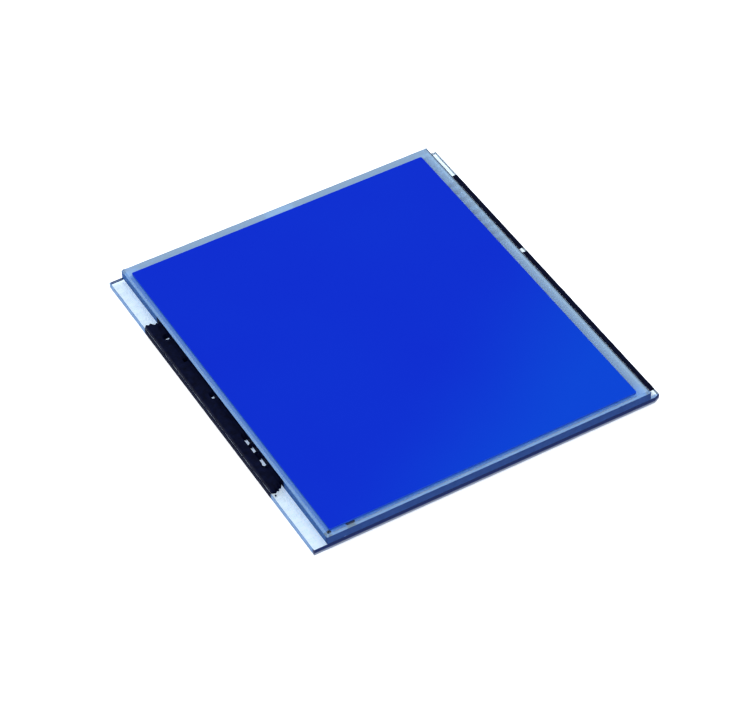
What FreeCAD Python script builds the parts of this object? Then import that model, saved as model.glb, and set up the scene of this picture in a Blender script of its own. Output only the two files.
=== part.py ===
# Bare chip-on-glass liquid crystal display panel.
# Millimetres, +Z up, viewing side up. The origin lies on the flat rear face, under the middle
# of the rear glass.
# The contact ledge with the driver chip is on the -Y side, the fill port is on the -X side.
import FreeCAD
import Part
import math
import os

# Glass sheets. The front sheet is shorter than the rear one, which leaves a ledge on two sides.
glass_width = 41.5
rear_glass_depth = 37.8
rear_glass_thickness = 0.7
front_glass_thickness = 1.1
contact_ledge_depth = 1.4
back_ledge_depth = 1.13
rear_arris = 0.05
front_bevel = 0.2
front_lower_arris = 0.05
corner_cut_width = 0.3
corner_cut_depth = 0.65

# Films laminated to the cell. Their margins run from the edges of the front glass.
reflector_thickness = 0.05
rear_polariser_thickness = 0.15
rear_margin_right = 0.65
rear_margin_left = 0.1
rear_margin_contact = 0.4
rear_margin_back = 1.2
front_polariser_thickness = 0.2
front_margin_right = 0.5
front_margin_left = 1.28
front_margin_contact = 0.55
front_margin_back = 1.37
film_corner_radius = 0.15

# Cell between the sheets. The gap and the conductor films are drawn thicker than the real ones.
cell_gap = 0.04
conductor_thickness = 0.01
seal_inset = 0.2
seal_width = 0.9
fill_port_width = 3.2
fill_port_offset = 0.3
end_seal_proud = 0.3
end_seal_height = 1.1
end_seal_length = 4.2

# Electrodes of the display area, as stripes on each sheet.
active_margin = 0.7
column_count = 32
column_gap = 0.14
row_count = 28
row_gap = 0.14

# Conductive dots that join the two sheets near the contact corner.
dot_diameter = 0.46
dot_from_side = 0.85
dot_from_contact_edge = 0.65
long_dot_length = 0.95
long_dot_width = 0.42
long_dot_from_side = 0.88
long_dot_from_contact_edge = 2.9

# Driver chip on the contact ledge, with its bumps and the bonding film under it.
chip_length = 18.0
chip_width = 0.72
chip_thickness = 0.3
chip_from_ledge_edge = 0.22
bump_height = 0.02
bump_length = 0.12
bump_width = 0.2
bump_inset = 0.1
output_span = 14.4
input_bump_pitch = 0.26
bonding_film_margin = 0.05

# Conductors on the contact ledge.
pad_count = 6
pad_width = 0.7
pad_pitch = 1.15
pad_length = 0.62
pad_from_ledge_edge = 0.15
pad_from_side = 0.8
lead_width = 0.025
lead_pitch = 0.07
chip_lead_pitch = 0.04
chip_lead_from_ledge_edge = 0.09
lead_bend_clearance = 0.2
column_lead_width = 0.2

# Test pads on the back ledge, each in line with a column.
test_pad_count = 9
first_test_column = 3
test_pad_width = 0.62
test_pad_outer_margin = 0.3

# Protective coat over the chip. Its ends are ragged, because it was laid on by hand.
coat_left_overrun = 4.0
coat_right_overrun = 3.6
coat_edge_margin = 0.04
coat_crown = 0.46
coat_shoulder = 0.34
coat_fillet = 0.16
coat_end_ramp = 0.5
coat_end_height = 0.15
coat_trim_allowance = 1.0
coat_gap_width = 0.32
coat_gap_flat = 0.01
coat_gap_from_glass = 0.2

# Protective coat on the back ledge, in two runs with a bare gap between them.
back_coat_left_end = -16.5
back_coat_right_end = 19.8
back_coat_gap_start = -3.55
back_coat_gap_width = 0.6
back_coat_height = 0.2
back_coat_shoulder = 0.14
back_coat_fillet = 0.12

# Ragged ends of the chip coat: how far each point lies past the nominal end, and its place
# across the ledge as a share of the ledge from the outer edge to the front glass.
left_end_points = [(-0.05, 0.0), (-0.22, 0.14), (-0.02, 0.30), (-0.20, 0.46),
                   (0.08, 0.60), (0.22, 0.74), (0.02, 0.86), (0.30, 1.0)]
right_end_points = [(0.02, 0.0), (0.08, 0.16), (0.20, 0.30), (0.04, 0.42),
                    (0.06, 0.58), (-0.16, 0.72), (-0.10, 0.84), (-0.55, 1.0)]

# Bare gaps in the chip coat beside the front glass: place along the ledge and length.
coat_gaps = [(-10.5, 0.5), (-6.75, 0.24), (-1.12, 0.36), (5.7, 0.66), (6.9, 0.7), (8.75, 0.92)]

# Levels, from the rear face up.
rear_film_top = reflector_thickness + rear_polariser_thickness
ledge_level = rear_film_top + rear_glass_thickness
front_glass_base = ledge_level + cell_gap
front_glass_top = front_glass_base + front_glass_thickness

# Outlines worked out from the sizes above.
side_x = glass_width / 2
rear_y = rear_glass_depth / 2
contact_y = -rear_y + contact_ledge_depth
back_y = rear_y - back_ledge_depth
seal_outer_x = side_x - seal_inset
seal_inner_x = seal_outer_x - seal_width
seal_outer_low_y = contact_y + seal_inset
seal_inner_low_y = seal_outer_low_y + seal_width
seal_outer_high_y = back_y - seal_inset
seal_inner_high_y = seal_outer_high_y - seal_width
active_x = seal_inner_x - active_margin
active_low_y = seal_inner_low_y + active_margin
active_high_y = seal_inner_high_y - active_margin
column_pitch = 2 * active_x / column_count
row_pitch = (active_high_y - active_low_y) / row_count
chip_low_y = -rear_y + chip_from_ledge_edge
chip_high_y = chip_low_y + chip_width
bump_base = ledge_level + conductor_thickness
chip_base = bump_base + bump_height
input_row_y = chip_low_y + bump_inset + bump_width / 2
output_row_y = chip_high_y - bump_inset - bump_width / 2
pad_low_y = -rear_y + pad_from_ledge_edge
pad_high_y = pad_low_y + pad_length
coat_left_end = -chip_length / 2 - coat_left_overrun
coat_right_end = chip_length / 2 + coat_right_overrun
coat_top = coat_crown + coat_fillet

# How far a level may be off when edges are picked, and the pull that bends a Bezier curve into
# a quarter of an ellipse.
level_tolerance = 1e-6
ellipse_pull = 0.5523


def box(low, high):
    """Box between two opposite corners."""
    return Part.makeBox(high[0] - low[0], high[1] - low[1], high[2] - low[2], FreeCAD.Vector(*low))


def prism(points, base, height):
    """Upright prism on a flat outline of straight sides."""
    corners = [FreeCAD.Vector(x, y, base) for x, y in points]
    outline = Part.makePolygon(corners + corners[:1])
    return Part.Face(outline).extrude(FreeCAD.Vector(0, 0, height))


def edges_at(shape, level):
    """Edges that lie wholly at one height."""
    return [edge for edge in shape.Edges
            if abs(edge.BoundBox.ZMin - level) < level_tolerance
            and abs(edge.BoundBox.ZMax - level) < level_tolerance]


def upright_edges(shape):
    """Edges that run along Z."""
    return [edge for edge in shape.Edges
            if edge.BoundBox.XLength < level_tolerance and edge.BoundBox.YLength < level_tolerance]


def rear_glass():
    """Rear sheet with a cut corner and seamed arrises."""
    outline = [(-side_x, -rear_y), (side_x, -rear_y), (side_x, rear_y - corner_cut_depth),
               (side_x - corner_cut_width, rear_y), (-side_x, rear_y)]
    sheet = prism(outline, rear_film_top, rear_glass_thickness)
    sheet = sheet.makeChamfer(rear_arris, edges_at(sheet, ledge_level))
    return sheet.makeChamfer(rear_arris, edges_at(sheet, rear_film_top))


def front_glass():
    """Front sheet with a wide ground bevel above and a fine arris below."""
    sheet = box((-side_x, contact_y, front_glass_base), (side_x, back_y, front_glass_top))
    sheet = sheet.makeChamfer(front_bevel, edges_at(sheet, front_glass_top))
    return sheet.makeChamfer(front_lower_arris, edges_at(sheet, front_glass_base))


def front_polariser():
    """Top film with die-cut corners, set back from each edge of the front glass."""
    low = (-side_x + front_margin_left, contact_y + front_margin_contact, front_glass_top)
    high = (side_x - front_margin_right, back_y - front_margin_back,
            front_glass_top + front_polariser_thickness)
    film = box(low, high)
    return film.makeFillet(film_corner_radius, upright_edges(film))


def rear_film(base, thickness):
    """One layer of the rear film, which lies under the cell and leaves both ledges clear."""
    low = (-side_x + rear_margin_left, contact_y + rear_margin_contact, base)
    high = (side_x - rear_margin_right, back_y - rear_margin_back, base + thickness)
    return box(low, high)


def column_places():
    """Centre of each column stripe along X."""
    return [-active_x + (index + 0.5) * column_pitch for index in range(column_count)]


def output_places():
    """Centre of each output bump along X, in the same order as the columns."""
    step = output_span / (column_count - 1)
    return [-output_span / 2 + index * step for index in range(column_count)]


def column_electrodes():
    """Stripes on the rear glass that fan in under the seal and end under the chip."""
    half = (column_pitch - column_gap) / 2
    lead = column_lead_width / 2
    lead_end = output_row_y - bump_width / 2
    stripes = []
    for column_x, bump_x in zip(column_places(), output_places()):
        outline = [(column_x - half, active_high_y), (column_x - half, active_low_y),
                   (bump_x - lead, seal_inner_low_y), (bump_x - lead, lead_end),
                   (bump_x + lead, lead_end), (bump_x + lead, seal_inner_low_y),
                   (column_x + half, active_low_y), (column_x + half, active_high_y)]
        stripes.append(prism(outline, ledge_level, conductor_thickness))
    return Part.makeCompound(stripes)


def test_pads():
    """Short metal pads that carry a few columns out to the back ledge."""
    half = test_pad_width / 2
    places = column_places()[first_test_column:first_test_column + test_pad_count]
    outer_y = rear_y - test_pad_outer_margin
    return Part.makeCompound([box((x - half, active_high_y, ledge_level),
                                  (x + half, outer_y, ledge_level + conductor_thickness))
                              for x in places])


def row_electrodes():
    """Stripes on the underside of the front glass, across the columns."""
    base = front_glass_base - conductor_thickness
    stripes = []
    for index in range(row_count):
        low_y = active_low_y + index * row_pitch + row_gap / 2
        stripes.append(box((-seal_outer_x, low_y, base),
                           (seal_outer_x, low_y + row_pitch - row_gap, front_glass_base)))
    return Part.makeCompound(stripes)


def input_bump_places():
    """Centre of each input bump along X at the right end of the chip, the outermost first."""
    first = chip_length / 2 - bump_inset - bump_length / 2
    return [first - index * input_bump_pitch for index in range(pad_count)]


def input_leads():
    """Contact pads at both ends of the ledge, each with its lead to the chip.

    A lead runs behind the pads, slants across the ledge between the pads and the chip, and
    passes outside the chip's input row, so it stays clear of the column leads.
    """
    half = lead_width / 2
    first_pad = side_x - pad_from_side - pad_width - (pad_count - 1) * pad_pitch
    high_bend = first_pad - lead_bend_clearance
    low_bend = chip_length / 2 + lead_bend_clearance
    conductors = []
    for index, bump_x in enumerate(input_bump_places()[::-1]):
        left = first_pad + index * pad_pitch
        right = left + pad_width
        riser = left + pad_width / 2
        run = pad_high_y + (index + 1) * lead_pitch
        low_run = -rear_y + chip_lead_from_ledge_edge + index * chip_lead_pitch
        outline = [(left, pad_low_y), (right, pad_low_y), (right, pad_high_y),
                   (riser + half, pad_high_y), (riser + half, run + half),
                   (high_bend, run + half), (low_bend, low_run + half),
                   (bump_x + half, low_run + half), (bump_x + half, input_row_y),
                   (bump_x - half, input_row_y), (bump_x - half, low_run - half),
                   (low_bend, low_run - half), (high_bend, run - half),
                   (riser - half, run - half), (riser - half, pad_high_y), (left, pad_high_y)]
        for side in (1, -1):
            mirrored = [(side * x, y) for x, y in outline]
            conductors.append(prism(mirrored, ledge_level, conductor_thickness))
    return Part.makeCompound(conductors)


def chip_bumps():
    """Gold bumps: outputs in a row beside the glass, inputs at both ends of the chip."""
    places = [(x, output_row_y) for x in output_places()]
    for x in input_bump_places():
        places += [(x, input_row_y), (-x, input_row_y)]
    return Part.makeCompound([box((x - bump_length / 2, y - bump_width / 2, bump_base),
                                  (x + bump_length / 2, y + bump_width / 2, chip_base))
                              for x, y in places])


def driver_chip():
    """Sawn silicon die, face down on its bumps."""
    return box((-chip_length / 2, chip_low_y, chip_base),
               (chip_length / 2, chip_high_y, chip_base + chip_thickness))


def space_under_chip():
    """Space between the chip and the ledge, with the edge to which the bonding film spreads."""
    margin = bonding_film_margin
    return box((-chip_length / 2 - margin, chip_low_y - margin, ledge_level),
               (chip_length / 2 + margin, chip_high_y + margin, chip_base))


def transfer_dots(rows):
    """A round dot and a long dot of conductive paste, from sheet to sheet or row stripe."""
    round_dot = Part.makeCylinder(dot_diameter / 2, cell_gap, FreeCAD.Vector(
        side_x - dot_from_side, contact_y + dot_from_contact_edge, ledge_level))
    centre_x = side_x - long_dot_from_side
    centre_y = contact_y + long_dot_from_contact_edge
    reach = (long_dot_length - long_dot_width) / 2
    radius = long_dot_width / 2
    long_dot = box((centre_x - radius, centre_y - reach, ledge_level),
                   (centre_x + radius, centre_y + reach, front_glass_base))
    for end_y in (centre_y - reach, centre_y + reach):
        long_dot = long_dot.fuse(Part.makeCylinder(
            radius, cell_gap, FreeCAD.Vector(centre_x, end_y, ledge_level)))
    return Part.makeCompound([dot.cut(rows) for dot in (round_dot, long_dot.removeSplitter())])


def fill_port():
    """Space of the fill port through the seal on the -X side."""
    half = fill_port_width / 2
    return box((-seal_outer_x, fill_port_offset - half, ledge_level),
               (-seal_inner_x, fill_port_offset + half, front_glass_base))


def perimeter_seal(inside):
    """Seal frame between the sheets, open at the fill port."""
    outer = box((-seal_outer_x, seal_outer_low_y, ledge_level),
                (seal_outer_x, seal_outer_high_y, front_glass_base))
    inner = box((-seal_inner_x, seal_inner_low_y, ledge_level),
                (seal_inner_x, seal_inner_high_y, front_glass_base))
    return outer.cut([inner, fill_port()] + inside)


def liquid_crystal(inside):
    """Fluid that fills the cell inside the seal, between the electrodes."""
    fluid = box((-seal_inner_x, seal_inner_low_y, ledge_level),
                (seal_inner_x, seal_inner_high_y, front_glass_base))
    return fluid.cut(inside)


def arc_bead(length, height, proud, level):
    """Bead of a round section with rounded ends on the -X side face."""
    reach = length / 2
    section_points = [FreeCAD.Vector(-side_x, 0, level - height / 2),
                      FreeCAD.Vector(-side_x - proud, 0, level),
                      FreeCAD.Vector(-side_x, 0, level + height / 2)]
    plan_points = [FreeCAD.Vector(-side_x, fill_port_offset - reach, 0),
                   FreeCAD.Vector(-side_x - proud, fill_port_offset, 0),
                   FreeCAD.Vector(-side_x, fill_port_offset + reach, 0)]
    prisms = []
    for points, way in ((section_points, FreeCAD.Vector(0, 2 * length, 0)),
                        (plan_points, FreeCAD.Vector(0, 0, 4 * height))):
        curve = Part.Arc(*points).toShape()
        chord = Part.LineSegment(points[2], points[0]).toShape()
        face = Part.Face(Part.Wire([curve, chord]))
        face.translate(FreeCAD.Vector(-way.x / 2, -way.y / 2, -way.z / 2))
        prisms.append(face.extrude(way))
    prisms[0].translate(FreeCAD.Vector(0, fill_port_offset, 0))
    prisms[1].translate(FreeCAD.Vector(0, 0, level))
    return prisms[0].common(prisms[1])


def end_seal(inside):
    """Cured plug in the fill port, with a low bead over the joint of the two sheets."""
    half = fill_port_width / 2
    plug = box((-side_x, fill_port_offset - half, ledge_level),
               (-seal_inner_x, fill_port_offset + half, front_glass_base)).cut(inside)
    bead = arc_bead(end_seal_length, end_seal_height, end_seal_proud,
                    (ledge_level + front_glass_base) / 2)
    return plug.fuse(bead).removeSplitter()


def quarter_curve(start, corner, end):
    """Quarter of an ellipse from start to end, tangent to both legs that meet at the corner."""
    curve = Part.BezierCurve()
    curve.setPoles([start, start + (corner - start) * ellipse_pull,
                    end + (corner - end) * ellipse_pull, end])
    return curve


def coat_section(outer_y, inner_y, crown, shoulder, fillet):
    """Cross section of a coat bead: a round shoulder outside, a fillet up the glass inside.

    inner_y is the glass face, and the outer side may lie on either side of it.
    """
    way = math.copysign(1, inner_y - outer_y)

    def point(y, z):
        return FreeCAD.Vector(0, y, ledge_level + z)

    foot = point(outer_y, 0)
    shoulder_top = point(outer_y + way * shoulder, crown)
    fillet_start = point(inner_y - way * fillet, crown)
    fillet_end = point(inner_y, crown + fillet)
    inner_foot = point(inner_y, 0)
    edges = [
        quarter_curve(foot, point(outer_y, crown), shoulder_top),
        Part.LineSegment(shoulder_top, fillet_start),
        quarter_curve(fillet_start, point(inner_y, crown), fillet_end),
        Part.LineSegment(fillet_end, inner_foot),
        Part.LineSegment(inner_foot, foot),
    ]
    return Part.Face(Part.Wire([edge.toShape() for edge in edges]))


def coat_outline():
    """Seen from above: the ragged ends of the chip coat, joined by straight sides."""
    left = [(coat_left_end + past, share) for past, share in left_end_points]
    right = [(coat_right_end + past, share) for past, share in right_end_points]
    outline = [(x, -rear_y + share * contact_ledge_depth) for x, share in right + left[::-1]]
    return prism(outline, ledge_level, coat_top)


def coat_ends():
    """Seen from the front: both ends of the chip coat slope down to the glass."""
    low_x = coat_left_end - coat_trim_allowance
    high_x = coat_right_end + coat_trim_allowance
    reach = coat_trim_allowance + coat_end_ramp
    level = ledge_level
    points = [(low_x, level), (high_x, level), (high_x, level + coat_end_height),
              (high_x - reach, level + coat_crown), (high_x - 2 * reach, level + coat_top),
              (low_x + 2 * reach, level + coat_top), (low_x + reach, level + coat_crown),
              (low_x, level + coat_end_height)]
    corners = [FreeCAD.Vector(x, -rear_y, z) for x, z in points]
    face = Part.Face(Part.makePolygon(corners + corners[:1]))
    return face.extrude(FreeCAD.Vector(0, contact_ledge_depth, 0))


def coat_gap(place, length):
    """Slot with pointed ends through the coat, beside the front glass."""
    half = coat_gap_width / 2
    shoulder = max(length / 2 - half, coat_gap_flat)
    centre_y = contact_y - coat_gap_from_glass
    outline = [(place - length / 2, centre_y), (place - shoulder, centre_y - half),
               (place + shoulder, centre_y - half), (place + length / 2, centre_y),
               (place + shoulder, centre_y + half), (place - shoulder, centre_y + half)]
    return prism(outline, ledge_level, coat_top)


def chip_coat(covered):
    """Hand-laid coat over the chip and the leads, with ragged ends and a few bare gaps."""
    section = coat_section(-rear_y + coat_edge_margin, contact_y, coat_crown,
                           coat_shoulder, coat_fillet)
    start = coat_left_end - coat_trim_allowance
    end = coat_right_end + coat_trim_allowance
    section.translate(FreeCAD.Vector(start, 0, 0))
    bead = section.extrude(FreeCAD.Vector(end - start, 0, 0))
    bead = bead.common(coat_outline()).common(coat_ends())
    gaps = [coat_gap(place, length) for place, length in coat_gaps]
    bead = bead.cut(gaps).cut(covered)
    return bead


def coat_run(start, end):
    """One run of the coat on the back ledge."""
    section = coat_section(rear_y - coat_edge_margin, back_y, back_coat_height,
                           back_coat_shoulder, back_coat_fillet)
    section.translate(FreeCAD.Vector(start, 0, 0))
    return section.extrude(FreeCAD.Vector(end - start, 0, 0))


def back_ledge_coat(covered):
    """Two runs of coat over the back ledge, beside the front glass."""
    gap_end = back_coat_gap_start + back_coat_gap_width
    runs = [coat_run(back_coat_left_end, back_coat_gap_start),
            coat_run(gap_end, back_coat_right_end)]
    return Part.makeCompound([run.cut(covered) for run in runs])


def main():
    columns = column_electrodes()
    rows = row_electrodes()
    pads = test_pads()
    inputs = input_leads()
    bumps = chip_bumps()
    chip = driver_chip()
    dots = transfer_dots(rows)
    parts = {
        "reflector_film": rear_film(0, reflector_thickness),
        "rear_polariser": rear_film(reflector_thickness, rear_polariser_thickness),
        "rear_glass": rear_glass(),
        "column_electrodes": columns,
        "test_pads": pads,
        "input_leads": inputs,
        "perimeter_seal": perimeter_seal([columns, rows, pads, dots]),
        "end_seal": end_seal([rows]),
        "transfer_dots": dots,
        "liquid_crystal": liquid_crystal([columns, rows, pads]),
        "row_electrodes": rows,
        "front_glass": front_glass(),
        "front_polariser": front_polariser(),
        "chip_bumps": bumps,
        "bonding_film": space_under_chip().cut([columns, inputs, bumps]),
        "driver_chip": chip,
        "chip_coat": chip_coat([chip, space_under_chip(), columns, inputs]),
        "back_ledge_coat": back_ledge_coat([pads]),
    }
    os.makedirs("parts", exist_ok=True)
    for name, shape in parts.items():
        shape.exportStep("parts/" + name + ".step")
        print(name, shape.isValid(), len(shape.Solids), round(shape.Volume, 4))


main()
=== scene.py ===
import math

import bmesh
import bpy
from mathutils import Matrix, Vector, noise


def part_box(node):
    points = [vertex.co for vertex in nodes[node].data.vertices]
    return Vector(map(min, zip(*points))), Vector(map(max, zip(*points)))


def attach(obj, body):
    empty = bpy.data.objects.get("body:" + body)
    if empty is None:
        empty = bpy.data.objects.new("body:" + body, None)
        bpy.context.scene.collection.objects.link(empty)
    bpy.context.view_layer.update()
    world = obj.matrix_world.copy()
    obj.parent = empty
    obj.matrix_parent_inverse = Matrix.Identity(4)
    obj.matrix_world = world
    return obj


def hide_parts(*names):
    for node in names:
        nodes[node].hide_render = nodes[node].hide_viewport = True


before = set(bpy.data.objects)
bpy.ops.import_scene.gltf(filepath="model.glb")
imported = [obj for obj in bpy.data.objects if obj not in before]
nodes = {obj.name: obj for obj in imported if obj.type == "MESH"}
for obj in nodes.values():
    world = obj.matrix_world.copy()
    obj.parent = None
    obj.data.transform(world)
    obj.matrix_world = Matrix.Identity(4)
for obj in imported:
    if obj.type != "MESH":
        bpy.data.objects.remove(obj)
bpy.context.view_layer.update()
scene = bpy.context.scene
mm = 0.001
sameLevel = 1e-7  # metres


# camera, at the photo's viewing angle
cameraView = {
    "place": (179.240, -99.453, 201.839),  # mm, found by matching the corners of the glass
    "aim": (1.096, -2.192, 1.195),  # mm
    "roll": -1.993,  # degrees
    "lens": 145.8,  # mm
}


def addCamera(view):
    place, aim = Vector(view["place"]) * mm, Vector(view["aim"]) * mm
    turn = (place - aim).to_track_quat("Z", "Y").to_matrix()
    turn = turn @ Matrix.Rotation(math.radians(view["roll"]), 3, "Z")
    data = bpy.data.cameras.new("camera")
    data.lens = view["lens"]
    data.sensor_width = 36.0
    data.clip_start = 0.005
    camera = bpy.data.objects.new("camera", data)
    camera.matrix_world = Matrix.Translation(place) @ turn.to_4x4()
    scene.collection.objects.link(camera)
    scene.camera = camera


addCamera(cameraView)
print("camera in place")


# materials
def toLinear(hexColour):
    parts = [int(hexColour[i:i + 2], 16) / 255 for i in (1, 3, 5)]
    linear = [c / 12.92 if c <= 0.04045 else ((c + 0.055) / 1.055) ** 2.4 for c in parts]
    return (*linear, 1.0)


def tones(low, high):
    return {6: toLinear(low), 7: toLinear(high)}  # a Mix node's two colours; its result is output 2


def fromTo(ends):
    return {"From Min": ends[0] * mm, "From Max": ends[1] * mm}  # a Map Range between two places


def outTo(ends):
    return {"To Min": ends[0], "To Max": ends[1]}


def perMm(size):
    return 1 / (size * mm)  # pattern scale for features of that many millimetres


def setNode(tree, node, values=None, links=None):
    for key, value in (values or {}).items():
        node.inputs[key].default_value = value
    for key, source in (links or {}).items():
        tree.links.new(source, node.inputs[key])
    return node


def addNode(tree, kind, values=None, links=None, **settings):
    node = tree.nodes.new(kind)
    for key, value in settings.items():
        setattr(node, key, value)
    return setNode(tree, node, values, links)


def startMaterial(name):
    material = bpy.data.materials.new(name)
    material.use_nodes = True
    tree = material.node_tree
    place = addNode(tree, "ShaderNodeTexCoord").outputs["Object"]
    return material, tree, tree.nodes["Principled BSDF"], place


glassIor = 1.52

floatLook = {
    "wave": 3, "waveDepth": 0.002,  # mm, the slow ripple of drawn glass
    "backFrom": (15.8, 17.3), "leftFrom": (-19.0, -19.4),  # mm over which the far margins are painted paler
    "paintedCornerFrom": (20.25, 20.4), "cornerBack": 17.78,  # mm, the back ledge beside the cut corner
    # painted shade on the bare corner of the back ledge
    "paintedCornerShade": "#5d80b4",
}


def makeFloatGlass(name, nearTones, paintedFarTone, clear):
    # soda-lime float glass: clear, hard and nearly without colour, unless adhesive hazes it
    look = floatLook
    material, tree, shader, place = startMaterial(name)
    axes = addNode(tree, "ShaderNodeSeparateXYZ", links={"Vector": place})
    wave = addNode(tree, "ShaderNodeTexNoise", {"Scale": perMm(look["wave"]), "Detail": 3.0},
                   {"Vector": place})
    bump = addNode(tree, "ShaderNodeBump", {"Strength": 0.2, "Distance": look["waveDepth"] * mm},
                   {"Height": wave.outputs["Fac"]})
    near = addNode(tree, "ShaderNodeMix", tones(*nearTones), {"Factor": wave.outputs["Fac"]},
                   data_type="RGBA")

    # the back and left margins: the haze is painted paler there and lets less through, for the
    # light that reaches them clear of the film's shade
    atBack = addNode(tree, "ShaderNodeMapRange", fromTo(look["backFrom"]),
                     {"Value": axes.outputs["Y"]})
    atLeft = addNode(tree, "ShaderNodeMapRange", fromTo(look["leftFrom"]),
                     {"Value": axes.outputs["X"]})
    atFar = addNode(tree, "ShaderNodeMath", links={0: atBack.outputs[0], 1: atLeft.outputs[0]},
                    operation="MAXIMUM")
    paled = addNode(tree, "ShaderNodeMix", {7: toLinear(paintedFarTone)},
                    {"Factor": atFar.outputs[0], 6: near.outputs[2]}, data_type="RGBA")
    clearness = addNode(tree, "ShaderNodeMapRange", outTo(clear), {"Value": atFar.outputs[0]})

    # the bare end of the back ledge: painted shade, a darker blue where the snapped sides show
    # through
    atRight = addNode(tree, "ShaderNodeMapRange", fromTo(look["paintedCornerFrom"]),
                      {"Value": axes.outputs["X"]})
    onLedge = addNode(tree, "ShaderNodeMath", {1: look["cornerBack"] * mm}, {0: axes.outputs["Y"]},
                      operation="GREATER_THAN")
    atPaintedCorner = addNode(tree, "ShaderNodeMath", links={0: atRight.outputs[0], 1: onLedge.outputs[0]},
                       operation="MULTIPLY")
    tone = addNode(tree, "ShaderNodeMix", {7: toLinear(look["paintedCornerShade"])},
                   {"Factor": atPaintedCorner.outputs[0], 6: paled.outputs[2]}, data_type="RGBA")
    setNode(tree, shader, {"Roughness": 0.0, "IOR": glassIor},
            {"Base Color": tone.outputs[2], "Normal": bump.outputs[0],
             "Transmission Weight": clearness.outputs[0]})
    return material


cutLook = {
    "rib": 0.9, "ribDepth": 0.01,  # mm, ribs of the snapped glass
    "upperFrom": (0.86, 0.98), "footFrom": (0.56, 0.42),  # mm above the table
    # painted light: the film's blue, as seen through the sides, set as their tones
    "upperTones": ("#2f4678", "#3a5690"), "lowerTones": ("#2c3866", "#98a0b0"),
    "leftFrom": (-20.3, -20.6), "backFrom": (17.5, 17.7), "rimFrom": (18.4, 18.6),  # mm
    "paintedFarTones": ("#a8c8e8", "#e8f4fc"),  # left and back sides, and the rim of the back ledge: painted pale for the light that comes in from outside
    "right": 20.45, "contact": -17.4, "ledge": -18.8,  # mm, where these sides begin
    "coatMiddle": -0.2, "coatReach": (12.7, 13.0),  # mm along the contact side
    # painted shade: the contact side darkened where the black coat lies beside it
    "paintedCoatShade": "#0c1430",
    "bareTones": ("#4f76b0", "#86a8d0"),  # contact side of the front sheet and of the rear one
    "clear": (0.1, 0.3), "paintedGlow": 0.06, "rough": 0.08,
}


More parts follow.
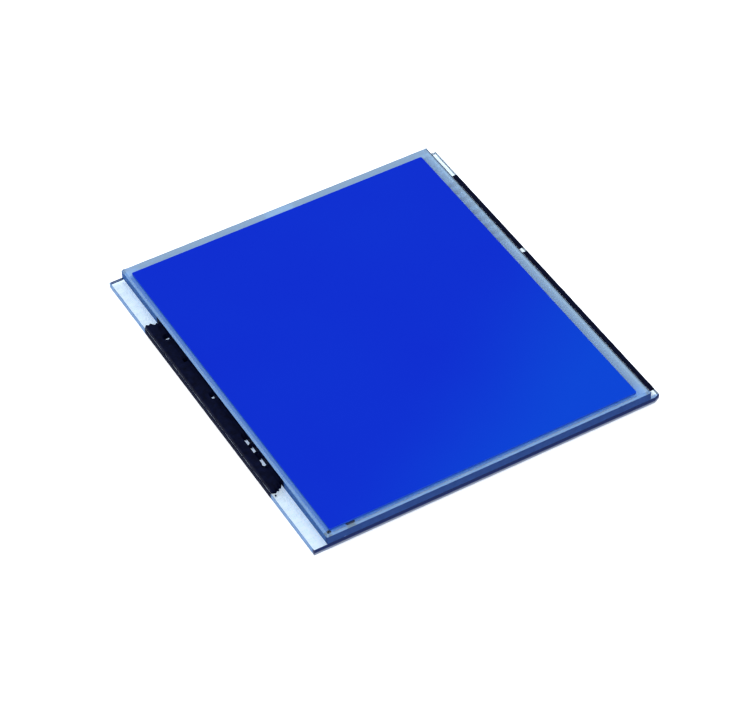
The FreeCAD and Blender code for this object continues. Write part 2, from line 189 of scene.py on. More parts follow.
def makeCutGlass():
    # scribed and snapped sides, ribbed, with painted light: the film's blue light is painted into
    # the two sides that it comes close to, the far sides are painted pale with a painted glow, and
    # the contact side has painted shade of the black coat
    look = cutLook
    material, tree, shader, place = startMaterial("snapped glass side with painted light")
    axes = addNode(tree, "ShaderNodeSeparateXYZ", links={"Vector": place})
    rib = addNode(tree, "ShaderNodeTexNoise", {"Scale": perMm(look["rib"]), "Detail": 3.0},
                  {"Vector": place})
    bump = addNode(tree, "ShaderNodeBump", {"Strength": 0.15, "Distance": look["ribDepth"] * mm},
                   {"Height": rib.outputs["Fac"]})

    # sides that the film comes close to: its blue light painted in, front sheet over the darker
    # rear one, with a grey foot
    upper = addNode(tree, "ShaderNodeMix", tones(*look["upperTones"]),
                    {"Factor": rib.outputs["Fac"]}, data_type="RGBA")
    atFoot = addNode(tree, "ShaderNodeMapRange", fromTo(look["footFrom"]),
                     {"Value": axes.outputs["Z"]})
    lower = addNode(tree, "ShaderNodeMix", tones(*look["lowerTones"]),
                    {"Factor": atFoot.outputs[0]}, data_type="RGBA")
    atUpper = addNode(tree, "ShaderNodeMapRange", fromTo(look["upperFrom"]),
                      {"Value": axes.outputs["Z"]})
    paintedFilmLight = addNode(tree, "ShaderNodeMix", None,
                       {"Factor": atUpper.outputs[0], 6: lower.outputs[2], 7: upper.outputs[2]},
                       data_type="RGBA")

    # left and back sides, painted pale for the light that comes in from outside
    onLeft = addNode(tree, "ShaderNodeMapRange", fromTo(look["leftFrom"]),
                     {"Value": axes.outputs["X"]})
    onBack = addNode(tree, "ShaderNodeMapRange", fromTo(look["backFrom"]),
                     {"Value": axes.outputs["Y"]})
    offRight = addNode(tree, "ShaderNodeMath", {1: look["right"] * mm}, {0: axes.outputs["X"]},
                       operation="LESS_THAN")
    backOnly = addNode(tree, "ShaderNodeMath", links={0: onBack.outputs[0], 1: offRight.outputs[0]},
                       operation="MULTIPLY")
    onFar = addNode(tree, "ShaderNodeMath", links={0: onLeft.outputs[0], 1: backOnly.outputs[0]},
                    operation="MAXIMUM")
    onRim = addNode(tree, "ShaderNodeMapRange", fromTo(look["rimFrom"]),
                    {"Value": axes.outputs["Y"]})
    paintedFarTone = addNode(tree, "ShaderNodeMix", tones(*look["paintedFarTones"]),
                      {"Factor": onRim.outputs[0]}, data_type="RGBA")
    sides = addNode(tree, "ShaderNodeMix", None,
                    {"Factor": onFar.outputs[0], 6: paintedFilmLight.outputs[2], 7: paintedFarTone.outputs[2]},
                    data_type="RGBA")

    # contact side, painted dark as far as the coat reaches: painted shade of the black coat
    onContact = addNode(tree, "ShaderNodeMath", {1: look["contact"] * mm}, {0: axes.outputs["Y"]},
                        operation="LESS_THAN")
    onLedge = addNode(tree, "ShaderNodeMath", {1: look["ledge"] * mm}, {0: axes.outputs["Y"]},
                      operation="LESS_THAN")
    along = addNode(tree, "ShaderNodeMath", {1: -look["coatMiddle"] * mm}, {0: axes.outputs["X"]},
                    operation="ADD")
    reach = addNode(tree, "ShaderNodeMath", links={0: along.outputs[0]}, operation="ABSOLUTE")
    bare = addNode(tree, "ShaderNodeMapRange", fromTo(look["coatReach"]),
                   {"Value": reach.outputs[0]})
    bareTone = addNode(tree, "ShaderNodeMix", tones(*look["bareTones"]),
                       {"Factor": onLedge.outputs[0]}, data_type="RGBA")
    contactTone = addNode(tree, "ShaderNodeMix", {6: toLinear(look["paintedCoatShade"])},
                          {"Factor": bare.outputs[0], 7: bareTone.outputs[2]}, data_type="RGBA")
    contactOnly = addNode(tree, "ShaderNodeMath",
                          links={0: onContact.outputs[0], 1: offRight.outputs[0]},
                          operation="MULTIPLY")
    tone = addNode(tree, "ShaderNodeMix", None,
                   {"Factor": contactOnly.outputs[0], 6: sides.outputs[2],
                    7: contactTone.outputs[2]}, data_type="RGBA")

    bareLedge = addNode(tree, "ShaderNodeMath", links={0: onLedge.outputs[0], 1: bare.outputs[0]},
                        operation="MULTIPLY")
    clearness = addNode(tree, "ShaderNodeMapRange", outTo(look["clear"]),
                        {"Value": bareLedge.outputs[0]})
    # painted glow: the far sides give off a little light in their own tone
    paintedGlow = addNode(tree, "ShaderNodeMath", {1: look["paintedGlow"]}, {0: onFar.outputs[0]},
                   operation="MULTIPLY")
    setNode(tree, shader, {"Roughness": look["rough"], "Specular IOR Level": 0.0, "IOR": glassIor},
            {"Base Color": tone.outputs[2], "Normal": bump.outputs[0],
             "Transmission Weight": clearness.outputs[0],
             "Emission Color": tone.outputs[2], "Emission Strength": paintedGlow.outputs[0]})
    return material


groundLook = {
    "grit": 0.05, "gritDepth": 0.01, "patch": 1.6,  # mm
    "tones": ("#a8d0f6", "#cfeaff"),
    "clear": 0.65, "rough": 0.22,
}


def makeGroundGlass():
    # glass ground with fine grit: a pale frosted strip, half clear, half scattering
    look = groundLook
    material, tree, shader, place = startMaterial("ground glass edge")
    grit = addNode(tree, "ShaderNodeTexNoise", {"Scale": perMm(look["grit"]), "Detail": 2.0},
                   {"Vector": place})
    patch = addNode(tree, "ShaderNodeTexNoise", {"Scale": perMm(look["patch"]), "Detail": 2.0},
                    {"Vector": place})
    tone = addNode(tree, "ShaderNodeMix", tones(*look["tones"]), {"Factor": patch.outputs["Fac"]},
                   data_type="RGBA")
    bump = addNode(tree, "ShaderNodeBump", {"Strength": 0.4, "Distance": look["gritDepth"] * mm},
                   {"Height": grit.outputs["Fac"]})
    setNode(tree, shader, {"Transmission Weight": look["clear"], "Roughness": look["rough"],
                           "IOR": glassIor},
            {"Base Color": tone.outputs[2], "Normal": bump.outputs[0]})
    return material


filmLook = {
    # the cut edge of the film is painted a lighter blue, as if lit
    "tones": ("#1537d0", "#1252d6"), "paintedEdgeLight": "#3565d6",
    "toPaintedSheen": (0.82, 0.57, 0), "paintedCornerFrom": (5, 25),  # way, and mm along it, to the corner that is painted paler: a painted sheen
    "cloud": 14, "cloudShare": 0.25,  # mm, and how much it adds
    "grain": 0.1, "grainDepth": 0.01,  # mm
    "flatFrom": (0.4, 0.8),  # upward part of the normal, from the cut edge to the flat face
    "rough": 0.42, "shine": 0.03,
}


def makeBlueFilm():
    # polarising film: dyed PVA between acetate sheets, deep blue, with a low-gloss hard coat
    look = filmLook
    material, tree, shader, place = startMaterial("blue polarising film with painted sheen")
    # painted sheen: the blue pales towards one corner
    lean = addNode(tree, "ShaderNodeVectorMath", {1: look["toPaintedSheen"]}, {0: place},
                   operation="DOT_PRODUCT")
    atPaintedCorner = addNode(tree, "ShaderNodeMapRange", fromTo(look["paintedCornerFrom"]),
                       {"Value": lean.outputs["Value"]}, interpolation_type="SMOOTHSTEP")
    cloud = addNode(tree, "ShaderNodeTexNoise", {"Scale": perMm(look["cloud"]), "Detail": 2.0},
                    {"Vector": place})
    blend = addNode(tree, "ShaderNodeMath", {1: look["cloudShare"]},
                    {0: cloud.outputs["Fac"], 2: atPaintedCorner.outputs[0]},
                    operation="MULTIPLY_ADD", use_clamp=True)
    face = addNode(tree, "ShaderNodeMix", tones(*look["tones"]), {"Factor": blend.outputs[0]},
                   data_type="RGBA")

    normal = addNode(tree, "ShaderNodeNewGeometry").outputs["True Normal"]
    facing = addNode(tree, "ShaderNodeSeparateXYZ", links={"Vector": normal})
    flat = addNode(tree, "ShaderNodeMapRange",
                   {"From Min": look["flatFrom"][0], "From Max": look["flatFrom"][1]},
                   {"Value": facing.outputs["Z"]})
    # painted light: the cut edges take a lighter blue than the flat face
    tone = addNode(tree, "ShaderNodeMix", {6: toLinear(look["paintedEdgeLight"])},
                   {"Factor": flat.outputs[0], 7: face.outputs[2]}, data_type="RGBA")
    grain = addNode(tree, "ShaderNodeTexNoise", {"Scale": perMm(look["grain"]), "Detail": 2.0},
                    {"Vector": place})
    bump = addNode(tree, "ShaderNodeBump", {"Strength": 0.08, "Distance": look["grainDepth"] * mm},
                   {"Height": grain.outputs["Fac"]})
    setNode(tree, shader, {"Roughness": look["rough"], "Specular IOR Level": look["shine"]},
            {"Base Color": tone.outputs[2], "Normal": bump.outputs[0]})
    return material


sealLook = {
    "grain": 0.3,  # mm
    "tones": ("#5f8cb4", "#719dc4"), "paintedGlowTone": "#6294d0",
    "rightFrom": (18, 19.4), "contactFrom": (-15.4, -16.2),  # mm, where the film comes over it
    "solid": (0.35, 0.85), "paintedGlow": (0.1, 0.55),  # clear of the film, and under it
}


def makeSeal():
    # epoxy seal: half clear, with a painted blue glow on the two sides where the front film hangs
    # over it and shades it
    look = sealLook
    material, tree, shader, place = startMaterial("seal epoxy with painted glow")
    axes = addNode(tree, "ShaderNodeSeparateXYZ", links={"Vector": place})
    grain = addNode(tree, "ShaderNodeTexNoise", {"Scale": perMm(look["grain"]), "Detail": 3.0},
                    {"Vector": place})
    tone = addNode(tree, "ShaderNodeMix", tones(*look["tones"]), {"Factor": grain.outputs["Fac"]},
                   data_type="RGBA")
    onRight = addNode(tree, "ShaderNodeMapRange", fromTo(look["rightFrom"]),
                      {"Value": axes.outputs["X"]})
    onContact = addNode(tree, "ShaderNodeMapRange", fromTo(look["contactFrom"]),
                        {"Value": axes.outputs["Y"]})
    under = addNode(tree, "ShaderNodeMath", links={0: onRight.outputs[0], 1: onContact.outputs[0]},
                    operation="MAXIMUM")
    solid = addNode(tree, "ShaderNodeMapRange", outTo(look["solid"]), {"Value": under.outputs[0]})
    paintedGlow = addNode(tree, "ShaderNodeMapRange", outTo(look["paintedGlow"]), {"Value": under.outputs[0]})
    # painted glow: the seal under the film shines blue, standing in for light that reaches it
    # through the film
    setNode(tree, shader, {"Emission Color": toLinear(look["paintedGlowTone"]), "Roughness": 0.6,
                           "Specular IOR Level": 0.2},
            {"Base Color": tone.outputs[2], "Alpha": solid.outputs[0],
             "Emission Strength": paintedGlow.outputs[0]})
    return material


def makeClearConductor():
    # indium tin oxide: a few hundred nanometres thick, all but invisible, faintly blue-grey
    material, tree, shader, place = startMaterial("indium tin oxide")
    mottle = addNode(tree, "ShaderNodeTexNoise", {"Scale": perMm(1.2)}, {"Vector": place})
    veil = addNode(tree, "ShaderNodeMapRange", outTo((0.02, 0.045)),
                   {"Value": mottle.outputs["Fac"]})
    setNode(tree, shader, {"Base Color": toLinear("#9fb6c4"), "Roughness": 0.2},
            {"Alpha": veil.outputs[0]})
    return material


def makeResin():
    # light-cured acrylic: clear, glossy, faintly cloudy, with a painted glow for the light that
    # reaches it through the glass beside it
    material, tree, shader, place = startMaterial("clear cured resin with painted glow")
    cloud = addNode(tree, "ShaderNodeTexNoise", {"Scale": perMm(0.6)}, {"Vector": place})
    tone = addNode(tree, "ShaderNodeMix", tones("#dcf0fc", "#f0faff"),
                   {"Factor": cloud.outputs["Fac"]}, data_type="RGBA")
    setNode(tree, shader, {"Transmission Weight": 0.1, "Roughness": 0.08, "IOR": 1.5,
                           "Emission Color": toLinear("#8cc0f0"), "Emission Strength": 0.15},
            {"Base Color": tone.outputs[2]})
    return material


def makePlain(name, bodyTones, grainMm, rough, shine, metallic=0.0, bumpMm=0.0, alpha=1.0):
    # a body whose colour wanders between two tones over a grain of the given size
    material, tree, shader, place = startMaterial(name)
    grain = addNode(tree, "ShaderNodeTexNoise", {"Scale": perMm(grainMm), "Detail": 3.0},
                    {"Vector": place})
    spread = addNode(tree, "ShaderNodeMapRange", {"From Min": 0.3, "From Max": 0.7},
                     {"Value": grain.outputs["Fac"]})
    tone = addNode(tree, "ShaderNodeMix", tones(*bodyTones), {"Factor": spread.outputs[0]},
                   data_type="RGBA")
    setNode(tree, shader, {"Roughness": rough, "Specular IOR Level": shine,
                           "Metallic": metallic, "Alpha": alpha},
            {"Base Color": tone.outputs[2]})
    if bumpMm:
        bump = addNode(tree, "ShaderNodeBump", {"Strength": 0.5, "Distance": bumpMm * mm},
                       {"Height": grain.outputs["Fac"]})
        setNode(tree, shader, links={"Normal": bump.outputs[0]})
    return material


floatGlass = makeFloatGlass("float glass", ("#e2f2fe", "#e8f6ff"), "#e8f6ff", (1.0, 1.0))
hazedGlass = makeFloatGlass("float glass with adhesive haze and painted pale margins", ("#a8c8f8", "#b4d2fa"), "#c0e2ff",
                            (0.9, 0.5))
cutGlass = makeCutGlass()
groundGlass = makeGroundGlass()
blueFilm = makeBlueFilm()
sealEpoxy = makeSeal()
clearConductor = makeClearConductor()
clearResin = makeResin()

# epoxy filled with soot: blue-black and lumpy, with a low gloss
blackResin = makePlain("black coating resin", ("#070c24", "#101838"), 0.5, 0.45, 0.06, bumpMm=0.02)
# acetate sheet dyed with iodine: blue-grey, even and half matt
greyFilm = makePlain("iodine polarising film", ("#4468b4", "#4c70be"), 1.5, 0.4, 0.3)
# evaporated metal on polyester: a soft grey mirror with a fine grain
silverBack = makePlain("silvered polyester", ("#b9bec4", "#d2d6da"), 0.15, 0.35, 0.5,
                       metallic=0.9, bumpMm=0.004)
# a film of oily fluid: dark blue under the front film
cellFluid = makePlain("liquid crystal", ("#14247a", "#182a8a"), 4.0, 0.3, 0.2)
# paste filled with carbon and silver flakes: near black, matt and grainy
dotPaste = makePlain("silver-carbon paste", ("#0b0f1c", "#1c2230"), 0.08, 0.7, 0.2, bumpMm=0.01)
# thin sputtered metal: blue-grey, and light comes through it
padMetal = makePlain("sputtered molybdenum", ("#4a5c74", "#5c6e88"), 0.4, 0.35, 0.5,
                     metallic=0.6, alpha=0.8)
# hidden by the coat: warm plated gold, dull resin full of fine beads, satin grey silicon
bumpGold = makePlain("plated gold", ("#c79a42", "#e0b85c"), 0.02, 0.4, 0.5,
                     metallic=1.0, bumpMm=0.002)
adhesive = makePlain("anisotropic bonding film", ("#6d6653", "#857d68"), 0.03, 0.6, 0.3)
silicon = makePlain("ground silicon", ("#25282e", "#34383f"), 0.2, 0.35, 0.5,
                    metallic=0.3, bumpMm=0.002)


def dress(material, *names):
    for name in names:
        slots = nodes[name].material_slots
        if not slots:
            nodes[name].data.materials.append(material)
        for item in slots:
            item.material = material


dress(blueFilm, "front_polariser")
dress(greyFilm, "rear_polariser")
dress(silverBack, "reflector_film")
dress(cellFluid, "liquid_crystal")
dress(dotPaste, "transfer_dots")
dress(padMetal, "test_pads")
dress(bumpGold, "chip_bumps")
dress(adhesive, "bonding_film")
dress(silicon, "driver_chip")
dress(clearConductor, "column_electrodes", "row_electrodes", "input_leads")
print("materials on the carried-over nodes")


# pieces: a bmesh in metres becomes an object that rides on the only body
def addPiece(name, bm, materials, replaced, smooth=False):
    mesh = bpy.data.meshes.new(name)
    for face in bm.faces:
        face.smooth = smooth
    bm.to_mesh(mesh)
    bm.free()
    for material in materials:
        mesh.materials.append(material)
    piece = bpy.data.objects.new(name, mesh)
    scene.collection.objects.link(piece)
    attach(piece, "root")
    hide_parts(*replaced)
    return piece


# glass sheets
glassShape = {  # mm
    "contact": 0.001,  # each sheet reaches into what it is bonded to, so that light passes
    "wave": 0.018, "wavePerMm": 0.9,  # the ground edges wander
    "flake": 0.12, "flakePerMm": 1.7, "flakeFrom": 0.42,  # small flakes, where the noise is high
    "cuts": 90, "shortest": 5,  # points along each edge that is longer than this
    "corner": 0.06,
    "rearArris": 0.05,
    "frontGrind": 0.2, "frontArris": 0.05,
    "cornerCut": (0.3, 0.65),
    "flat": 0.95, "sloping": 0.2,  # upward part of a face's normal
}


def glassBlock(low, high):
    bm = bmesh.new()
    bmesh.ops.create_cube(bm, size=1.0)
    bmesh.ops.scale(bm, vec=high - low, verts=bm.verts)
    bmesh.ops.translate(bm, vec=(low + high) / 2, verts=bm.verts)
    return bm


def bevelEdges(bm, edges, offset):
    bmesh.ops.bevel(bm, geom=edges, offset=offset, offset_type="OFFSET", segments=1,
                    profile=0.5, affect="EDGES", material=-1)


def atLevel(vert, level):
    return abs(vert.co.z - level) < sameLevel


def edgesAt(bm, *levels):
    return [e for e in bm.edges if any(all(atLevel(v, level) for v in e.verts) for level in levels)]


def roughenEdges(bm, low, high, topGrind, footGrind, seed):
    # long edges beside each ground strip get many points, which wander a little in their own plane
    shape = glassShape
    underTop, overFoot = high.z - topGrind, low.z + footGrind
    longEdges = [e for e in edgesAt(bm, high.z, underTop, low.z, overFoot)
                 if e.calc_length() > shape["shortest"] * mm]
    bmesh.ops.subdivide_edges(bm, edges=longEdges, cuts=shape["cuts"])
    middleY = (low.y + high.y) / 2
    for v in bm.verts:
        wavePlace = v.co.xy / mm * shape["wavePerMm"]
        flakePlace = v.co.xy / mm * shape["flakePerMm"]
        wander = noise.noise(Vector((*wavePlace, seed))) * shape["wave"]
        flake = max(0.0, noise.noise(Vector((*flakePlace, seed + 9))) - shape["flakeFrom"])
        shift = (wander - flake * shape["flake"]) * mm
        nearX = min(v.co.x - low.x, high.x - v.co.x)
        nearY = min(v.co.y - low.y, high.y - v.co.y)
        if nearX < nearY:
            inward = Vector((math.copysign(1, -v.co.x), 0, 0))
        else:
            inward = Vector((0, math.copysign(1, middleY - v.co.y), 0))
        if atLevel(v, high.z) or atLevel(v, low.z):
            v.co -= inward * shift
        elif atLevel(v, underTop):
            v.co.z += shift
        elif atLevel(v, overFoot):
            v.co.z -= shift


def finishFaces(bm, slopeIndex):
    # 0 polished faces, 1 sides and fine arrises, slopeIndex the sloping faces on top
    bm.normal_update()
    for face in bm.faces:
        if abs(face.normal.z) > glassShape["flat"]:
            face.material_index = 0
        else:
            face.material_index = slopeIndex if face.normal.z > glassShape["sloping"] else 1


def addRearSheet():
    shape = glassShape
    low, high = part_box("rear_glass")
    low.z -= shape["contact"] * mm
    high.z += shape["contact"] * mm
    bm = glassBlock(low, high)
    cutX, cutY = (part * mm for part in shape["cornerCut"])
    cut = bmesh.ops.bisect_plane(bm, geom=bm.verts[:] + bm.edges[:] + bm.faces[:], dist=1e-8,
                                 plane_co=(high.x - cutX, high.y, 0),
                                 plane_no=Vector((cutY, cutX, 0)).normalized(), clear_outer=True)
    rim = [part for part in cut["geom_cut"] if isinstance(part, bmesh.types.BMEdge)]
    bmesh.ops.holes_fill(bm, edges=rim)
    bmesh.ops.recalc_face_normals(bm, faces=bm.faces)
    arris = shape["rearArris"] * mm
    bevelEdges(bm, edgesAt(bm, high.z) + edgesAt(bm, low.z), arris)
    roughenEdges(bm, low, high, arris, arris, 3)
    finishFaces(bm, 1)
    addPiece("rearSheet", bm, [floatGlass, cutGlass], ["rear_glass"])


def addFrontSheet():
    # it reaches down through the cell to the rear sheet, as if bonded to all that the cell holds
    shape = glassShape
    low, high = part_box("front_glass")
    low.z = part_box("rear_glass")[1].z - shape["contact"] * mm
    high.z += shape["contact"] * mm
    bm = glassBlock(low, high)
    grind, arris = shape["frontGrind"] * mm, shape["frontArris"] * mm
    uprights = [e for e in bm.edges if not atLevel(e.verts[0], e.verts[1].co.z)]
    bevelEdges(bm, uprights, shape["corner"] * mm)
    bevelEdges(bm, edgesAt(bm, high.z), grind)
    bevelEdges(bm, edgesAt(bm, low.z), arris)
    roughenEdges(bm, low, high, grind, arris, 5)
    finishFaces(bm, 2)
    addPiece("frontSheet", bm, [hazedGlass, cutGlass, groundGlass], ["front_glass"])


addRearSheet()
addFrontSheet()
print("glass sheets")


# shapes that the resins share, all in mm
def ripple(x, y, size, seed):
    return noise.noise(Vector((x / size, y / size, seed)))


def dome(distance, reach):
    share = min(max(distance / reach, 0.0), 1.0)
    return math.sqrt(max(0.0, 1 - (1 - share) ** 2))


def fillet(away, size):
    # height of the hollow corner where resin climbs the glass
    near = max(0.0, size - away)
    return size * 0.9 * (1 - math.sqrt(max(0.0, 1 - (near / size) ** 2)))


def valueAt(points, share):
    # straight lines between (value, share) points
    for (first, low), (second, high) in zip(points, points[1:]):
        if share <= high:
            return first + (second - first) * max(0.0, share - low) / (high - low)
    return points[-1][0]


resinGrid = {"probe": 0.004, "tries": 3, "leastSlope": 0.2, "thinnest": 0.012}  # mm


def snapToOutline(v, plan, step, inside):
    # moves a point on the rim of the grid along the slope of inside(), to where that is zero
    left, right, low, high = plan
    probe = resinGrid["probe"]
    for _ in range(resinGrid["tries"]):
        distance = inside(v.co.x, v.co.y)
        slope = Vector((inside(v.co.x + probe, v.co.y) - inside(v.co.x - probe, v.co.y),
                        inside(v.co.x, v.co.y + probe) - inside(v.co.x, v.co.y - probe)))
        slope /= 2 * probe
        if distance > 2 * step or slope.length < resinGrid["leastSlope"]:
            break
        move = slope.normalized() * distance / slope.length
        v.co.x = min(max(v.co.x - move.x, left), right)
        v.co.y = min(max(v.co.y - move.y, low), high)


def layResin(plan, step, inside, height, hollow, put):
    # a fine grid is trimmed to a ragged outline, raised, and closed underneath
    left, right, low, high = plan
    wide, deep = max(2, round((right - left) / step)), max(2, round((high - low) / step))
    bm = bmesh.new()
    bmesh.ops.create_grid(bm, x_segments=wide, y_segments=deep, size=0.5)
    for v in bm.verts:
        v.co = Vector(((left + right) / 2 + v.co.x * (right - left),
                       (low + high) / 2 + v.co.y * (high - low), 0))
    outside = [f for f in bm.faces if inside(*f.calc_center_median().xy) < 0]
    bmesh.ops.delete(bm, geom=outside, context="FACES")
    for v in [v for v in bm.verts if v.is_boundary]:
        snapToOutline(v, plan, step, inside)
    spots = {v: (v.co.x, v.co.y) for v in bm.verts}
    base = bmesh.ops.extrude_face_region(bm, geom=bm.faces[:])["geom"]
    for v in [part for part in base if isinstance(part, bmesh.types.BMVert)]:
        v.co = put(v.co.x, v.co.y, hollow(v.co.x, v.co.y))
    for v, (across, along) in spots.items():
        v.co = put(across, along, max(resinGrid["thinnest"], height(across, along)))
    bmesh.ops.recalc_face_normals(bm, faces=bm.faces)
    return bm


# seal between the sheets
sealFrame = {  # mm
    "right": 20.66, "low": -17.36, "high": 17.6,
    "width": 1.0, "corner": 0.35,
    "base": 0.912, "top": 0.928,  # between the conductor films
    "port": (-1.3, 1.9), "portFrom": -15,  # the fill port, in the side left of portFrom
    "wander": 0.04, "wanderSize": 1.6, "step": 0.6,
}


def addSealBead():
    # a dispensed bead that the sheets have pressed flat, with edges that wander a little
    seal = sealFrame
    bm = bmesh.new()
    bmesh.ops.create_grid(bm, x_segments=1, y_segments=1, size=0.5)
    bmesh.ops.scale(bm, vec=(2 * seal["right"], seal["high"] - seal["low"], 1), verts=bm.verts)
    bmesh.ops.translate(bm, vec=(0, (seal["low"] + seal["high"]) / 2, 0), verts=bm.verts)
    middle = bm.faces[:]
    bmesh.ops.inset_region(bm, faces=middle, thickness=seal["width"], use_boundary=True,
                           use_even_offset=True)
    bmesh.ops.delete(bm, geom=middle, context="FACES")
    bmesh.ops.bevel(bm, geom=bm.verts[:], offset=seal["corner"], offset_type="OFFSET", segments=5,
                    profile=0.5, affect="VERTICES", material=-1)
    for side in seal["port"]:
        bmesh.ops.bisect_plane(bm, geom=bm.verts[:] + bm.edges[:] + bm.faces[:], dist=1e-5,
                               plane_co=(0, side, 0), plane_no=(0, 1, 0))
    centres = {f: f.calc_center_median() for f in bm.faces}
    inPort = [f for f, centre in centres.items() if centre.x < seal["portFrom"]
              and seal["port"][0] < centre.y < seal["port"][1]]
    bmesh.ops.delete(bm, geom=inPort, context="FACES")
    for edge in [e for e in bm.edges if e.calc_length() > 2 * seal["step"]]:
        bmesh.ops.subdivide_edges(bm, edges=[edge], cuts=int(edge.calc_length() / seal["step"]))
    for v in bm.verts:
        v.co.x += seal["wander"] * ripple(v.co.x, v.co.y, seal["wanderSize"], 31)
        v.co.y += seal["wander"] * ripple(v.co.x, v.co.y, seal["wanderSize"], 32)
        v.co = Vector((v.co.x, v.co.y, seal["base"])) * mm
    grown = bmesh.ops.extrude_face_region(bm, geom=bm.faces[:])["geom"]
    bmesh.ops.translate(bm, vec=(0, 0, (seal["top"] - seal["base"]) * mm),
                        verts=[part for part in grown if isinstance(part, bmesh.types.BMVert)])
    bmesh.ops.recalc_face_normals(bm, faces=bm.faces)
    addPiece("sealBead", bm, [sealEpoxy], ["perimeter_seal"])


addSealBead()
print("seal between the sheets")


# black coat over the chip
chipCoat = {  # mm
    "outerEdge": -18.86, "glassFace": -17.5,
    "ledge": 0.9005,  # a hair below the rear sheet's top face, so that they touch
    "step": 0.045, "spare": (0.4, 0.6),  # grid, and how far it passes the two ends
    "crown": 0.44, "shoulder": 0.26, "fillet": 0.16,
    "lump": (0.03, 0.9), "pimple": (0.015, 0.25),  # height and size
    "endHeight": 0.35, "endReach": 0.6,  # share of the crown left at an end, and the slope's length
    "edgeStart": 0.01, "rim": (0.02, 0.1),  # where the rounding starts, and how far it reaches
    "leftEnd": -13.0, "rightEnd": 12.6,
    "leftRag": [(-0.05, 0.0), (-0.22, 0.14), (-0.02, 0.30), (-0.20, 0.46),
                (0.08, 0.60), (0.22, 0.74), (0.02, 0.86), (0.30, 1.0)],  # (offset, share of width)
    "rightRag": [(0.02, 0.0), (0.08, 0.16), (0.20, 0.30), (0.04, 0.42),
                 (0.06, 0.58), (-0.16, 0.72), (-0.10, 0.84), (-0.55, 1.0)],
    "tooth": (0.09, 0.12), "toothStretch": 0.2, "edgeWave": (0.02, 1.4),  # depth and size
    "gaps": [(-10.5, 0.32), (-6.75, 0.2), (-1.12, 0.36),
             (5.7, 0.66), (6.9, 0.7), (8.75, 0.92)],  # bare gaps beside the glass: place and length
    "gapRow": -17.68, "gapWidth": 0.36, "gapWave": (0.04, 0.14),
    "gapSlope": 0.3, "gapFloor": 0.04,  # how far the coat thins towards a gap, and what is left
    "specks": [-11.6, -9.8, -6.9, -3.9, -3.1, -1.5, 2.0, 4.4, 5.9, 9.35, 11.7],
    "speckRow": -18.7, "speckHeight": 0.05, "speckRadius": 0.1, "speckSquash": 1.4,
    "drop": (13.05, -18.62, 0.09),  # a stray drop beside the right end: place and radius
    "chip": (9.02, -18.7, -17.93, 0.342),  # half length, near side, far side, height of the hollow
    "chipMargin": (0.05, 0.03),
}


def chipCoatEnds(y):
    coat = chipCoat
    share = (y - coat["outerEdge"]) / (coat["glassFace"] - coat["outerEdge"])
    return (coat["leftEnd"] + valueAt(coat["leftRag"], share),
            coat["rightEnd"] + valueAt(coat["rightRag"], share))


def gapDistance(x, y):
    coat = chipCoat
    half = coat["gapWidth"] / 2
    deep, size = coat["gapWave"]
    away = min(math.hypot((x - place) / (length / 2), (y - coat["gapRow"]) / half) - 1
               for place, length in coat["gaps"])
    return away * half + deep * ripple(x, y, size, 7)


def chipCoatInside(x, y):
    coat = chipCoat
    left, right = chipCoatEnds(y)
    deep, size = coat["edgeWave"]
    edge = y - coat["outerEdge"] - deep - deep * ripple(x, 0, size, 2)
    deep, size = coat["tooth"]
    tooth = deep * ripple(x * coat["toothStretch"], y, size, 6)
    placeX, placeY, radius = coat["drop"]
    return max(min(x - left + tooth, right - x + tooth, edge, gapDistance(x, y)),
               radius - math.hypot(x - placeX, y - placeY))


def chipCoatHeight(x, y):
    coat = chipCoat
    left, right = chipCoatEnds(y)
    crown = coat["crown"]
    for seed, (deep, size) in ((4, coat["lump"]), (5, coat["pimple"])):
        crown += deep * ripple(x, y, size, seed)
    low = coat["endHeight"]
    raised = crown * dome(y - coat["outerEdge"] - coat["edgeStart"], coat["shoulder"])
    raised *= low + (1 - low) * dome(min(x - left, right - x), coat["endReach"])
    raised += fillet(coat["glassFace"] - y, coat["fillet"])

    # the coat thins towards the gaps, but not over the chip
    half, near, far, tall = coat["chip"]
    marginX, marginY = coat["chipMargin"]
    if abs(x) >= half + marginX or y >= far + marginY:
        raised *= min(1.0, max(0.0, gapDistance(x, y)) / coat["gapSlope"] + coat["gapFloor"])
    start, reach = coat["rim"]
    raised *= dome(chipCoatInside(x, y) + start, reach)
    for place in coat["specks"]:
        away = math.hypot(x - place, (y - coat["speckRow"]) * coat["speckSquash"])
        raised += coat["speckHeight"] * max(0.0, 1 - away / coat["speckRadius"])
    return raised


def chipCoatHollow(x, y):
    half, near, far, tall = chipCoat["chip"]
    return tall if abs(x) < half and near < y < far else 0.0


def addChipCoat():
    coat = chipCoat
    plan = (coat["leftEnd"] - coat["spare"][0], coat["rightEnd"] + coat["spare"][1],
            coat["outerEdge"], coat["glassFace"] + 0.001)
    bm = layResin(plan, coat["step"], chipCoatInside, chipCoatHeight, chipCoatHollow,
                  lambda x, y, up: Vector((x, y, coat["ledge"] + up)) * mm)
    addPiece("chipCoatResin", bm, [blackResin], ["chip_coat"], smooth=True)


addChipCoat()
print("coat over the chip")


# black coat on the back ledge
backCoat = {  # mm
    "glassFace": 17.77, "outerEdge": 18.86, "ledge": 0.9005, "step": 0.05,
    "crown": 0.17, "shoulder": 0.16, "edgeStart": 0.01, "fillet": 0.12, "lump": (0.02, 0.8),
    "runs": [(-16.5, -3.55), (-2.95, 19.8)],
    "edgeWave": (0.03, 1.1), "endWave": (0.08, 0.3), "endInset": 0.04,
}


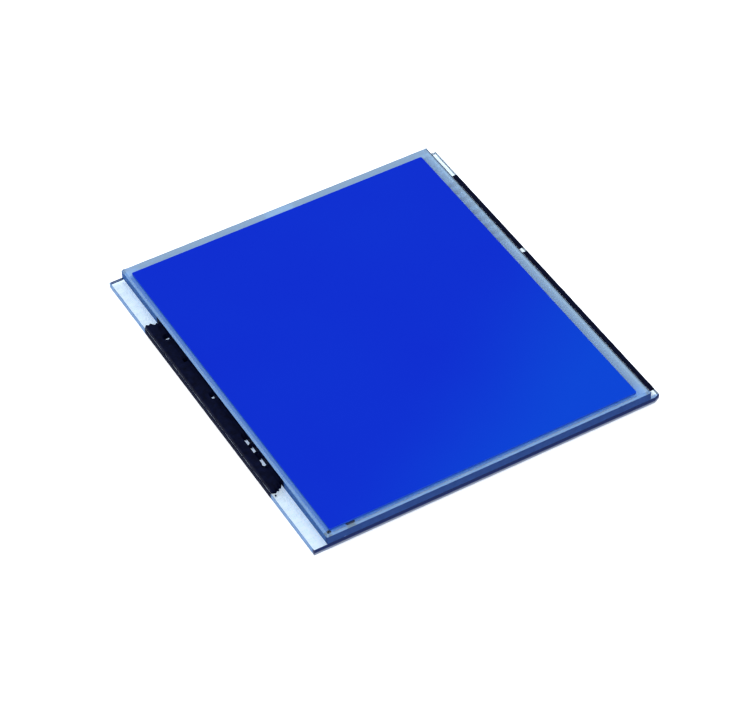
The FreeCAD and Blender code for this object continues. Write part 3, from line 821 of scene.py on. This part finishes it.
def backCoatInside(x, y):
    coat = backCoat
    deep, size = coat["edgeWave"]
    edge = coat["outerEdge"] - deep - y - deep * ripple(x, 0, size, 11)
    deep, size = coat["endWave"]
    ends = max(min(x - start, end - x) for start, end in coat["runs"])
    return min(edge, ends + deep * ripple(x, y, size, 12) - coat["endInset"])


def backCoatHeight(x, y):
    coat = backCoat
    deep, size = coat["lump"]
    crown = coat["crown"] + deep * ripple(x, y, size, 13)
    raised = crown * dome(backCoatInside(x, y) + coat["edgeStart"], coat["shoulder"])
    return raised + fillet(y - coat["glassFace"], coat["fillet"])


def addBackCoat():
    coat = backCoat
    plan = (coat["runs"][0][0], coat["runs"][1][1], coat["glassFace"] - 0.001, coat["outerEdge"])
    bm = layResin(plan, coat["step"], backCoatInside, backCoatHeight, lambda x, y: 0.0,
                  lambda x, y, up: Vector((x, y, coat["ledge"] + up)) * mm)
    addPiece("backCoatResin", bm, [blackResin], ["back_ledge_coat"], smooth=True)


addBackCoat()
print("coat on the back ledge")


# bead and plug that close the fill port
endSeal = {  # mm
    "face": -20.75, "centre": (0.3, 0.92), "half": (2.08, 0.54), "step": 0.05,
    "proud": 0.29, "shoulder": 0.5,
    "edgeWave": (0.03, 0.5), "lump": (0.12, 0.6),
    "plug": ((-20.75, -1.3, 0.902), (-19.65, 1.9, 0.938)),
}


def endSealInside(y, z):
    (midY, midZ), (halfY, halfZ) = endSeal["centre"], endSeal["half"]
    deep, size = endSeal["edgeWave"]
    away = math.hypot((y - midY) / halfY, (z - midZ) / halfZ)
    return (1 - away) * halfZ + deep * ripple(y, z, size, 21) - deep


def endSealHeight(y, z):
    deep, size = endSeal["lump"]
    lump = 1 + deep * ripple(y, z, size, 22)
    proud = endSeal["proud"]
    return min(proud, proud * 0.9 * dome(endSealInside(y, z), endSeal["shoulder"]) * lump)


def addEndSeal():
    (midY, midZ), (halfY, halfZ) = endSeal["centre"], endSeal["half"]
    bm = layResin((midY - halfY, midY + halfY, midZ - halfZ, midZ + halfZ), endSeal["step"],
                  endSealInside, endSealHeight, lambda y, z: 0.0,
                  lambda y, z, out: Vector((endSeal["face"] + 0.001 - out, y, z)) * mm)
    plug = glassBlock(*(Vector(corner) * mm for corner in endSeal["plug"]))
    mesh = bpy.data.meshes.new("plug")
    plug.to_mesh(mesh)
    plug.free()
    bm.from_mesh(mesh)
    bpy.data.meshes.remove(mesh)
    addPiece("endSealResin", bm, [clearResin], ["end_seal"])


addEndSeal()
print("end seal")


# stage: a light tent over a light table
studio = {
    "floor": 3.0,  # metres across
    "tableTones": ("#fafafa", "#fdfdfd"), "tableGlow": 0.5,
    "sky": "#f4f8ff",
    "skyFrom": (0.1, -0.1, 0.99),  # the side of the tent that is brightest
    "skyFade": (-0.1, 0.75), "skyLight": (0.12, 1.0),  # turned away from that side, and towards it
}


def makeLightTable():
    # opal acrylic, lit from below: an even pale floor with almost no shadow
    material, tree, shader, place = startMaterial("opal acrylic table")
    fibre = addNode(tree, "ShaderNodeTexNoise", {"Scale": perMm(6), "Detail": 4.0},
                    {"Vector": place})
    tone = addNode(tree, "ShaderNodeMix", tones(*studio["tableTones"]),
                   {"Factor": fibre.outputs["Fac"]}, data_type="RGBA")
    setNode(tree, shader, {"Emission Strength": studio["tableGlow"], "Roughness": 0.9,
                           "Specular IOR Level": 0.1},
            {"Base Color": tone.outputs[2], "Emission Color": tone.outputs[2]})
    return material


def addFloor():
    bm = bmesh.new()
    bmesh.ops.create_grid(bm, x_segments=1, y_segments=1, size=studio["floor"] / 2)
    mesh = bpy.data.meshes.new("floor")
    bm.to_mesh(mesh)
    bm.free()
    mesh.materials.append(makeLightTable())
    floor = bpy.data.objects.new("floor", mesh)
    scene.collection.objects.link(floor)


def addLight():
    world = bpy.data.worlds.new("light tent")
    world.use_nodes = True
    tree = world.node_tree
    way = addNode(tree, "ShaderNodeTexCoord").outputs["Generated"]
    toward = addNode(tree, "ShaderNodeVectorMath", {1: studio["skyFrom"]}, {0: way},
                     operation="DOT_PRODUCT")
    darkest, brightest = studio["skyFade"]
    strength = addNode(tree, "ShaderNodeMapRange",
                       {"From Min": darkest, "From Max": brightest, **outTo(studio["skyLight"])},
                       {"Value": toward.outputs["Value"]}, interpolation_type="SMOOTHSTEP")
    setNode(tree, tree.nodes["Background"], {"Color": toLinear(studio["sky"])},
            {"Strength": strength.outputs[0]})
    scene.world = world
    scene.view_settings.view_transform = "Standard"
    scene.view_settings.look = "Medium High Contrast"


addFloor()
addLight()
print("floor and light")
